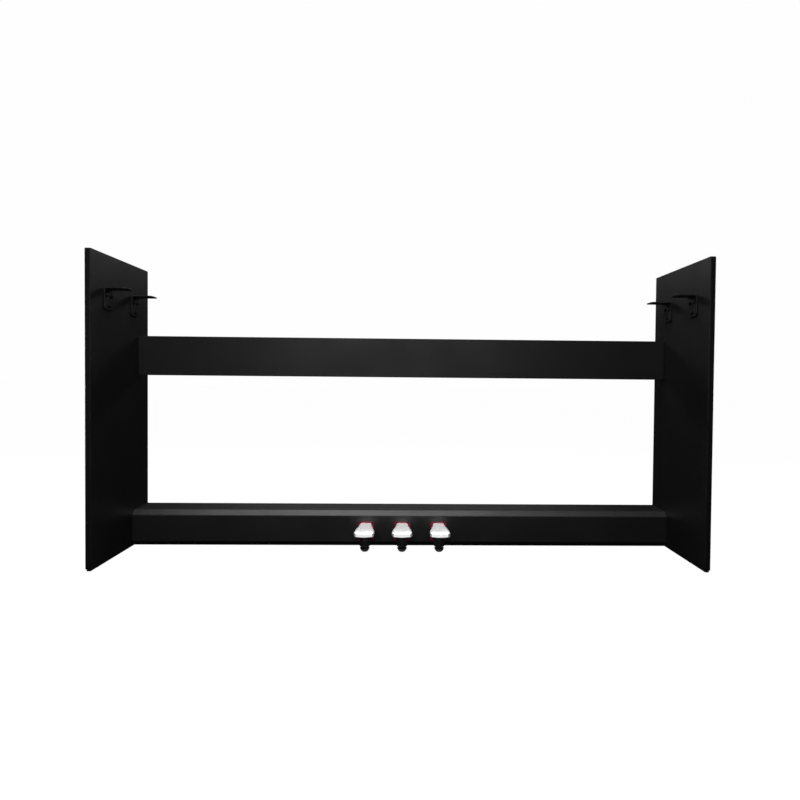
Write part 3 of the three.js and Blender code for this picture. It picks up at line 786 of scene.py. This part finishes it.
def set_bolts():
    """The eight connector bolts, each stopped at a different turn."""
    pattern = bolt_shape()
    turn = 0.3
    for name, side in SIDES.items():
        for bolt_name in BOLTS:
            set_copy(pattern, f"{name}_{bolt_name}", side, turn)
            turn += math.radians(23)
    bpy.data.objects.remove(pattern)


# ---- Rail and pedal box ----

RAIL_CORNER = 1.5 * MM
BOARD_CORNER = 0.7 * MM
BOARD_EDGE = 0.3 * MM
BOLT_GRIP = 16 * MM
BOX_CHAMFER = 12 * MM
CHAMFER_CREASE = 2 * MM
SLOT_CORNER = 7.5 * MM
FELT_GAP = 0.3 * MM
SOCKET_FLANGE = 2.4 * MM
SOCKET_GAP = 0.3 * MM


def long_board(node, corner):
    """A board along X between the panels, all its long edges rounded by `corner`."""
    low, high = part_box(node)
    outline = rounded(low.y, high.y, low.z, high.z, corner, 4)
    return built(node, (LAMINATE,), slab, "x", outline, low.x, high.x, BOARD_EDGE)


def rear_rail():
    """The rail board, its ends bored for the connector bolts."""
    node = "rear_rail"
    low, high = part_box(node)
    holes = []
    for name, side in SIDES.items():
        end = low.x if side < 0 else high.x
        for bolt in ("rail_bolt_lower", "rail_bolt_upper"):
            bore = circle(middle(f"{name}_{bolt}").yz, BOLT_RADIUS + BORE_CLEARANCE, 24)
            holes.append([(bore, end), (bore, end - side * (BOLT_GRIP + 1 * MM))])
    outline = rounded(low.y, high.y, low.z, high.z, RAIL_CORNER, 4)
    rail = built(node, (LAMINATE,), slab, "x", outline, low.x, high.x, BOARD_EDGE, holes)
    stand_for(shade(rail), node)


def box_front():
    """The front board, bevelled along its top and bottom, with the three pedal slots."""
    node = "pedal_box_front"
    low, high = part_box(node)
    section = [
        (high.y, high.z),
        (low.y + BOX_CHAMFER, high.z),
        (low.y, high.z - BOX_CHAMFER),
        (low.y, low.z + BOX_CHAMFER),
        (low.y + BOX_CHAMFER, low.z),
        (high.y, low.z),
    ]
    outline = softened(section, CHAMFER_CREASE, 4)
    board = built(node, (LAMINATE,), slab, "x", outline, low.x, high.x, BOARD_EDGE)
    for pedal in PEDALS:
        felt_low, felt_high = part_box(f"{pedal}_slot_felt")
        left, right = felt_low.x - FELT_GAP, felt_high.x + FELT_GAP
        bottom, top = felt_low.z - FELT_GAP, felt_high.z + FELT_GAP
        slot = rounded(left, right, bottom, top, SLOT_CORNER, 8)
        arguments = ("y", slot, low.y - 10 * MM, high.y + 10 * MM, 0.1 * MM)
        combine(board, built("slot", (), slab, *arguments, steps=1), "DIFFERENCE")
    stand_for(shade(board), node)


def box_rear():
    """The rear board, with the window that the cable socket sits in."""
    node = "pedal_box_rear"
    low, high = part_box(node)
    socket_low, socket_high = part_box("cable_socket")
    inward = SOCKET_FLANGE - SOCKET_GAP
    left, right = socket_low.x + inward, socket_high.x - inward
    bottom, top = socket_low.z + inward, socket_high.z - inward
    window = rounded(left, right, bottom, top, 0.5 * MM, 2)
    corners = ((low.x, low.z), (high.x, low.z), (high.x, high.z), (low.x, high.z))
    outline = [Vector(corner) for corner in corners]
    hole = [[(window, low.y), (window, high.y)]]
    board = built(node, (LAMINATE,), slab, "y", outline, low.y, high.y, BOARD_EDGE, hole)
    stand_for(shade(board), node)


def pedal_box():
    """All the boards of the box, and the blocks in its ends."""
    box_front()
    box_rear()
    for board in ("pedal_box_top", "pedal_box_base"):
        stand_for(shade(long_board(board, BOARD_CORNER)), board)
    for name in SIDES:
        dress(f"pedal_box_{name}_end", PARTICLE_BOARD)


# ---- Felt slot linings ----

FELT_SIDE = 4.2 * MM
FELT_TOP = 1.6 * MM
FELT_BOTTOM = 3 * MM
FELT_EDGE = 0.5 * MM
FELT_LOOP = 150  # points round a lining
FLUFF = 0.10 * MM
FLUFF_SINK = 0.06 * MM  # keeps the fluffed felt inside its slot


def felt_section(depth):
    """(share of the way from the outer to the inner loop, place along Y) round the felt."""
    flat = depth - 2 * FELT_EDGE
    section = [(0.0, FELT_EDGE), (0.03, 0.15 * MM), (0.1, 0.0)]
    section += [(0.1 + 0.8 * i / 6, 0.0) for i in range(1, 7)]
    section += [(0.97, 0.15 * MM), (1.0, FELT_EDGE)]
    section += [(1.0, FELT_EDGE + flat * i / 12) for i in range(1, 13)]
    section += [(0.9, depth), (0.1, depth), (0.0, depth - FELT_EDGE)]
    return section + [(0.0, depth - FELT_EDGE - flat * i / 4) for i in range(1, 4)]


def slot_felt(pedal):
    """A felt ring swept round its slot; its faces are roughened with matted fibres."""
    node = f"{pedal}_slot_felt"
    low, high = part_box(node)
    left, right = low.x + FELT_SIDE, high.x - FELT_SIDE
    bottom, top = low.z + FELT_BOTTOM, high.z - FELT_TOP
    outer = spaced(rounded(low.x, high.x, low.z, high.z, SLOT_CORNER - FELT_GAP, 8), FELT_LOOP)
    inner = spaced(rounded(left, right, bottom, top, 2 * MM, 8), FELT_LOOP)
    bm = bmesh.new()
    rings = []
    for share, back in felt_section(high.y - low.y):
        points = [a.lerp(b, share) for a, b in zip(outer, inner)]
        rings.append([bm.verts.new((p.x, low.y + back, p.y)) for p in points])
    for first, second in zip(rings, rings[1:] + rings[:1]):
        bridge(bm, first, second)
    bmesh.ops.recalc_face_normals(bm, faces=bm.faces)
    bm.normal_update()
    for vert in bm.verts:
        fluff = noise.fractal(vert.co * 900, 0.7, 2.2, 3) * FLUFF
        vert.co += vert.normal * (fluff - FLUFF_SINK)
    felt = to_object(node, bm, RED_FELT)
    felt.data.shade_smooth()
    stand_for(felt, node)


# ---- Pedals ----

PITCH = math.radians(3.6)
TOE_BOTTOM = 4.3 * MM  # over the pivot's line
TOE_TOP = 16.3 * MM
NECK_WIDTH = 30 * MM
TOE_WIDTH = 49 * MM
TOE_CORNER = 9 * MM
TOE_BULGE = 3 * MM
TOE_STRAIGHT = 4 * MM
CROWN_WIDTH = 8 * MM  # how far in the top's rounding reaches
CROWN_HEIGHT = 4.2 * MM
CROWN_POWER = 2.3
UNDER_ROUND = 2 * MM


def toe_outline(front, rear, flare_rear):
    """A toe from above: a straight neck, a flare to its rounded corners and a bulged lip."""
    neck, wide = NECK_WIDTH / 2, TOE_WIDTH / 2
    shoulder = front + TOE_BULGE
    wide_rear = shoulder + TOE_CORNER + TOE_STRAIGHT
    pull = (flare_rear - wide_rear) * 0.35
    left = [Vector((-neck, rear)), Vector((-neck, flare_rear))]
    start, end = (-neck, flare_rear), (-wide, wide_rear)
    left += bezier(start, (-neck, flare_rear - pull), (-wide, wide_rear + pull), end, 16)
    left += arc((TOE_CORNER - wide, shoulder + TOE_CORNER), TOE_CORNER, 180, 268, 9)
    lip = []
    for i in range(1, 12):
        t = i / 12
        across = (TOE_CORNER - wide) * (1 - 2 * t)
        lip.append(Vector((across, shoulder - TOE_BULGE * 4 * t * (1 - t))))
    right = [Vector((-point.x, point.y)) for point in reversed(left)]
    return left + lip + right


def toe_rings(outline):
    """(outline, height) pairs from the underside to the crowned top."""
    rings = []
    for i in range(5):
        turn = math.pi / 2 * i / 4
        inward, rise = UNDER_ROUND * (1 - math.sin(turn)), UNDER_ROUND * (1 - math.cos(turn))
        rings.append((inset(outline, inward), TOE_BOTTOM + rise))
    base = TOE_TOP - CROWN_HEIGHT
    for i in range(15):
        share = 1 - math.cos(math.pi / 2 * i / 14)
        rise = (1 - (1 - share) ** CROWN_POWER) ** (1 / CROWN_POWER)
        rings.append((inset(outline, CROWN_WIDTH * share), base + CROWN_HEIGHT * rise))
    return rings


def pedal_toe(pedal):
    """A chrome toe, which slopes a little down towards the player at rest."""
    node = f"{pedal}_pedal_toe"
    pivot = PIVOTS[f"{pedal}_pedal_pivot"]
    low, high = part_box(node)
    lean = (TOE_BOTTOM + TOE_TOP) / 2 * math.tan(PITCH)
    front = (low.y - pivot.y) / math.cos(PITCH) + lean
    rear = (high.y - pivot.y) / math.cos(PITCH) + lean
    box_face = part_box("pedal_box_front")[0].y
    outline = toe_outline(front, rear, (box_face - pivot.y) - 2.3 * MM)
    bm = bmesh.new()
    rings = [loop(bm, LAY["z"], points, height) for points, height in toe_rings(outline)]
    for first, second in zip(rings, rings[1:]):
        bridge(bm, first, second)
    bm.faces.new(rings[0])
    bm.faces.new(rings[-1])
    bm.transform(Matrix.Translation(pivot) @ Matrix.Rotation(PITCH, 4, "X"))
    stand_for(shade(to_object(node, bm, CHROME), 50), node)


def return_spring(pedal):
    """A wound spring with flat closed ends, on a mesh of its own."""
    node = f"{pedal}_return_spring"
    low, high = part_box(node)
    wire = 0.7 * MM
    radius = (high.y - low.y) / 2 - wire
    turns, flat, steps = 5, 0.75, 28
    centre = middle(node)
    path = []
    for i in range(turns * steps + 1):
        turn = i / steps
        rise = min(max((turn - flat) / (turns - 2 * flat), 0), 1)
        rise = 0.94 * rise + 0.06 * turn / turns
        angle = 2 * math.pi * turn
        around = Vector((radius * math.cos(angle), radius * math.sin(angle)))
        height = low.z + wire + (high.z - low.z - 2 * wire) * rise
        path.append(Vector((centre.x + around.x, centre.y + around.y, height)))
    spring = built(node, (BRIGHT_STEEL,), tube, path, wire)
    stand_for(shade(spring, 60), node)
    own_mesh(spring)


# ---- Chassis and the feet under its tongues ----

CHASSIS_PLATE = 3 * MM
TONGUE_WIDTH = 20 * MM
TONGUE_LIFT = 7 * MM  # over the plate's underside
BOSS_ABOVE = 11.2 * MM
BOSS_RADIUS = 13.3 * MM
STUD_BORE = 10.4 * MM
SHAFT_HOLE = 4.3 * MM
EAR_HALF = 8 * MM
EAR_PLATE = 2.5 * MM
EAR_INNER = 12 * MM  # from the pedal's middle


def chassis_parts():
    """The plate, and each pedal's tongue, boss and two ears, as separate solids."""
    low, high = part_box("pedal_chassis")
    plate_top = low.z + CHASSIS_PLATE
    box_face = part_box("pedal_box_front")[0].y
    joggle_front, joggle_rear = box_face + 17 * MM, box_face + 23 * MM
    tongue_low = low.z + TONGUE_LIFT
    tongue_high = tongue_low + CHASSIS_PLATE
    boss_top = tongue_high + BOSS_ABOVE
    pivot = PIVOTS["centre_pedal_pivot"]
    boss_y = middle("centre_adjuster_foot").y
    plate = rounded(low.x, high.x, joggle_rear, high.y, 4 * MM)
    yield (slab, "z", plate, low.z, plate_top, 0.4 * MM), {}
    run = [
        (boss_y, tongue_low),
        (joggle_front, tongue_low),
        (joggle_rear, low.z),
        (joggle_rear + 6 * MM, low.z),
        (joggle_rear + 6 * MM, plate_top - 0.1 * MM),
        (joggle_rear + 1 * MM, plate_top - 0.1 * MM),
        (joggle_front + 1 * MM, tongue_high),
        (boss_y, tongue_high),
    ]
    for pedal in PEDALS:
        x = PIVOTS[f"{pedal}_pedal_pivot"].x
        half = TONGUE_WIDTH / 2
        outline = [Vector(point) for point in run]
        yield (slab, "x", outline, x - half, x + half, 0.35 * MM), {}
        boss_low = low.z + 0.7 * MM
        roof = boss_top - 3 * MM
        profile = [
            (STUD_BORE, boss_low),
            (BOSS_RADIUS, boss_low),
            (BOSS_RADIUS, boss_top - 3.2 * MM),
            (BOSS_RADIUS - 3.2 * MM, boss_top),
            (0, boss_top),
        ]
        shell = softened(profile, 1.6 * MM, 5)
        bore = [Vector((0, roof)), Vector((STUD_BORE, roof))]
        yield (turned, [*bore, *shell], (x, boss_y, 0)), {"steps": 64}
        for direction in (-1, 1):
            inner = x + direction * EAR_INNER
            ear = [Vector((pivot.y - EAR_HALF, low.z)), Vector((pivot.y + EAR_HALF, low.z))]
            ear += arc((pivot.y, pivot.z), EAR_HALF, 0, 180, 18)
            hole = circle((pivot.y, pivot.z), SHAFT_HOLE, 32)
            faces = inner, inner + direction * EAR_PLATE
            yield (slab, "x", ear, *faces, 0.3 * MM, [[(hole, faces[0]), (hole, faces[1])]]), {}


def chassis():
    """The chassis's parts, joined to one solid."""
    node = "pedal_chassis"
    whole = None
    for (build, *arguments), options in chassis_parts():
        part = built("chassis_part", (POWDER_COAT,), build, *arguments, **options)
        whole = combine(whole, part, "UNION") if whole else part
    stand_for(shade(whole, 32), node)


def adjuster_foot(pedal):
    """A bullet-shaped foot with a fluted grip, on the stud that turns in its boss."""
    node = f"{pedal}_adjuster_foot"
    low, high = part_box(node)
    centre = middle(node)
    radius = (high.x - low.x) / 2
    body = 10 * MM  # height of the foot without its stud
    stud = 10 * MM  # radius
    outer = [
        (0, low.z),
        (5 * MM, low.z),
        (0.62 * radius, low.z + 1.2 * MM),
        (0.80 * radius, low.z + 3.8 * MM),
        (0.95 * radius, low.z + 7.6 * MM),
        (radius, low.z + 9 * MM),
        (radius, low.z + body),
        (stud, low.z + body),
    ]
    profile = softened(outer, 1.4 * MM, 4)
    depth = low.z + body
    while depth < high.z - 2 * MM:  # thread
        profile += [Vector((0.94 * stud, depth + 0.35 * MM)), Vector((stud, depth + 0.9 * MM))]
        depth += 1.1 * MM
    profile += [Vector((0.8 * stud, high.z)), Vector((0, high.z))]

    def flute(angle, height):
        strength = max(0.0, min(1.0, (height - low.z - 2.5 * MM) / (3 * MM)))
        below_rim = 1.0 if height < low.z + body - 0.05 * MM else 0.0
        return 1 - 0.035 * strength * below_rim * (0.5 + 0.5 * math.cos(24 * angle)) ** 2

    place = (centre.x, centre.y, 0)
    foot = built(node, (RUBBER,), turned, profile, place, steps=144, flute=flute)
    stand_for(shade(foot, 45), node)


# ---- Cable socket ----

def cable_socket():
    """A moulded socket with a flange, a square-sided mouth and six contact blades."""
    node = "cable_socket"
    low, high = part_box(node)
    centre = middle(node)
    plate, wall, depth = 1.4 * MM, 2.5 * MM, 9 * MM

    def within(inward, radius, steps):
        sides = (low.x + inward, high.x - inward, low.z + inward, high.z - inward)
        return rounded(*sides, radius, steps)

    outer = within(0, 2.2 * MM, 5)
    body = within(SOCKET_FLANGE, 0.6 * MM, 3)
    mouth = within(SOCKET_FLANGE + wall, 0.8 * MM, 4)
    socket = built(node, (BLACK_PLASTIC, BRASS), slab, "y", outer, high.y - plate, high.y, 0.4 * MM)
    tail = built("tail", (BLACK_PLASTIC,), slab, "y", body, low.y, high.y - plate / 2, 0.2 * MM)
    combine(socket, tail, "UNION")
    arguments = ("y", mouth, high.y - depth, high.y + 1 * MM, 0.05 * MM)
    combine(socket, built("mouth", (BLACK_PLASTIC,), slab, *arguments), "DIFFERENCE")
    bm = bmesh.new()
    bm.from_mesh(socket.data)
    for i in range(6):
        x = centre.x + (i - 2.5) * 2 * MM
        bottom, top = centre.z - 1.0 * MM, centre.z - 0.6 * MM
        blade = rounded(x - 0.4 * MM, x + 0.4 * MM, bottom, top, 0.1 * MM, 1)
        before = set(bm.faces)
        slab(bm, "y", blade, high.y - depth - 0.5 * MM, high.y - 3 * MM, 0.1 * MM, steps=1)
        for face in set(bm.faces) - before:
            face.material_index = 1
    bm.to_mesh(socket.data)
    bm.free()
    stand_for(shade(socket), node)


# ---- The whole stand ----

for side_name, side_sign in SIDES.items():
    side_panel(side_name, side_sign)
    floor_strip(side_name)
    for station_name in STATIONS:
        bracket(side_name, side_sign, station_name)
    dress(f"{side_name}_shaft_clip", BRIGHT_STEEL)
set_screws()
set_bolts()
rear_rail()
pedal_box()
chassis()
cable_socket()
dress("pivot_shaft", BRIGHT_STEEL)
dress("pedal_circuit_board", CIRCUIT, 0.2 * MM)
for pedal_name in PEDALS:
    slot_felt(pedal_name)
    pedal_toe(pedal_name)
    return_spring(pedal_name)
    adjuster_foot(pedal_name)
    dress(f"{pedal_name}_pedal_lever", POWDER_COAT, 0.5 * MM)
    dress(f"{pedal_name}_pedal_sensor", BLACK_PLASTIC, 0.4 * MM)


# ---- Studio ----

CAMERA_PLACE = (0.00603, -1.50608, 0.42733)
CAMERA_YAW = 0.02372  # radians to the right of straight ahead
CAMERA_DROP = 0.02138  # radians below level
CAMERA_ROLL = 0.00914
CAMERA_LENS = 27.80  # mm, on a 36 mm sensor
CAMERA_SHIFT = (-0.0255, -0.0097)
FLOOR_GLOW = 0.985
FLOOR_PAINT = (0.06, 0.06, 0.06, 1)
SKY_GLOW = 0.99
ROOM_GLOW = 0.012
TOE_TENT = (
    ((0, 2.0, 0.75), (2.6, 1.5), 11),
    ((0, -0.2, 1.6), (2.4, 2.4), 150),
    ((0, -1.5, -0.50), (5.0, 1.2), 15),
)  # white cards that only the chrome sees: (place, size, watts)


def camera():
    """The photo's viewpoint, fitted to the straight edges in it."""
    data = bpy.data.cameras.new("camera")
    data.sensor_width = 36.0
    data.lens = CAMERA_LENS
    data.shift_x, data.shift_y = CAMERA_SHIFT
    yaw = Matrix.Rotation(-CAMERA_YAW, 4, "Z")
    drop = Matrix.Rotation(math.pi / 2 - CAMERA_DROP, 4, "X")
    roll = Matrix.Rotation(CAMERA_ROLL, 4, "Z")
    view = bpy.data.objects.new("camera", data)
    view.matrix_world = Matrix.Translation(CAMERA_PLACE) @ yaw @ drop @ roll
    bpy.context.scene.collection.objects.link(view)
    bpy.context.scene.camera = view


def lamp(name, place, target, size, power):
    """A white rectangular softbox, hidden from the camera."""
    data = bpy.data.lights.new(name, "AREA")
    data.shape = "RECTANGLE"
    data.size, data.size_y = size
    data.energy = power
    light = bpy.data.objects.new(name, data)
    light.location = place
    light.rotation_euler = (Vector(target) - Vector(place)).to_track_quat("-Z", "Y").to_euler()
    light.visible_camera = False
    bpy.context.scene.collection.objects.link(light)
    return light


def seen_by(light, *words):
    """Limits a light to the pieces with one of these words in their names."""
    lit = bpy.data.collections.new(light.name)
    for piece in bpy.context.scene.collection.all_objects:
        if piece.type == "MESH" and any(word in piece.name for word in words):
            lit.objects.link(piece)
    light.light_linking.receiver_collection = lit


def floor():
    """A pale floor, bright enough to read as white, and clear when seen from below."""
    bm = bmesh.new()
    bmesh.ops.create_grid(bm, x_segments=4, y_segments=4, size=30)
    ground = to_object("floor", bm)
    ground.location.z = -0.2 * MM
    ground.visible_glossy = False
    ground.visible_diffuse = False
    ground.visible_shadow = False
    shader = Shader("floor")
    glow = shader.node("ShaderNodeEmission", {"Color": (1, 1, 1, 1), "Strength": FLOOR_GLOW})
    paint = shader.node("ShaderNodeBsdfDiffuse", {"Color": FLOOR_PAINT})
    both = shader.node("ShaderNodeAddShader", {0: glow.outputs[0], 1: paint.outputs[0]})
    clear = shader.node("ShaderNodeBsdfTransparent")
    behind = shader.node("ShaderNodeNewGeometry").outputs["Backfacing"]
    faces = {0: behind, 1: both.outputs[0], 2: clear.outputs[0]}
    pick = shader.node("ShaderNodeMixShader", faces)
    shader.feed(shader.tree.nodes["Material Output"].inputs["Surface"], pick.outputs[0])
    ground.data.materials.append(shader.material)


def surroundings():
    """White behind the object; a dim grey room in what its surfaces reflect."""
    world = bpy.data.worlds.new("studio")
    bpy.context.scene.world = world
    world.use_nodes = True
    tree = world.node_tree
    background = tree.nodes["Background"]
    background.inputs["Color"].default_value = (1, 1, 1, 1)
    paths = tree.nodes.new("ShaderNodeLightPath")
    strength = tree.nodes.new("ShaderNodeMapRange")
    strength.inputs["To Min"].default_value = ROOM_GLOW
    strength.inputs["To Max"].default_value = SKY_GLOW
    tree.links.new(paths.outputs["Is Camera Ray"], strength.inputs["Value"])
    tree.links.new(strength.outputs["Result"], background.inputs["Strength"])


def lights():
    """Softboxes matched to the photo's tones: name, place, target, size in metres, watts."""
    lamp("key", (-0.12, -2.0, 0.80), (0, 0, 0.40), (1.2, 0.35), 5.5)
    lamp("ceiling", (-0.25, -0.6, 1.9), (-0.25, -0.6, 0), (1.2, 2.4), 26)
    lamp("rear", (-0.10, 2.2, 1.5), (0, 0, 0.1), (2.0, 0.5), 4)
    under = lamp("under", (0, 0.1, -1.2), (0, 0.1, 0), (2.0, 1.0), 10)
    seen_by(under, "rear_rail", "pedal_box_base", "pedal_chassis", "adjuster_foot", "floor_strip")
    seen_by(lamp("band", (-0.25, -0.5, 1.5), (-0.1, 0, 0.1), (1.6, 1.6), 16), "pedal_box_front")
    for side in SIDES.values():
        lamp("flank", (side * 2.5, 0, 0.42), (0, 0, 0.40), (0.4, 0.5), 30)
    back = lamp("back", (0.3, 3.0, 0.8), (0, 0, 0.30), (1.4, 0.5), 14)
    seen_by(back, "rear_rail", "pedal_box_rear", "cable_socket")
    for place, size, power in TOE_TENT:
        seen_by(lamp("toe_tent", place, (0, 0, 0.05), size, power), "pedal_toe")


camera()
floor()
surroundings()
lights()
bpy.context.scene.view_settings.view_transform = "Standard"
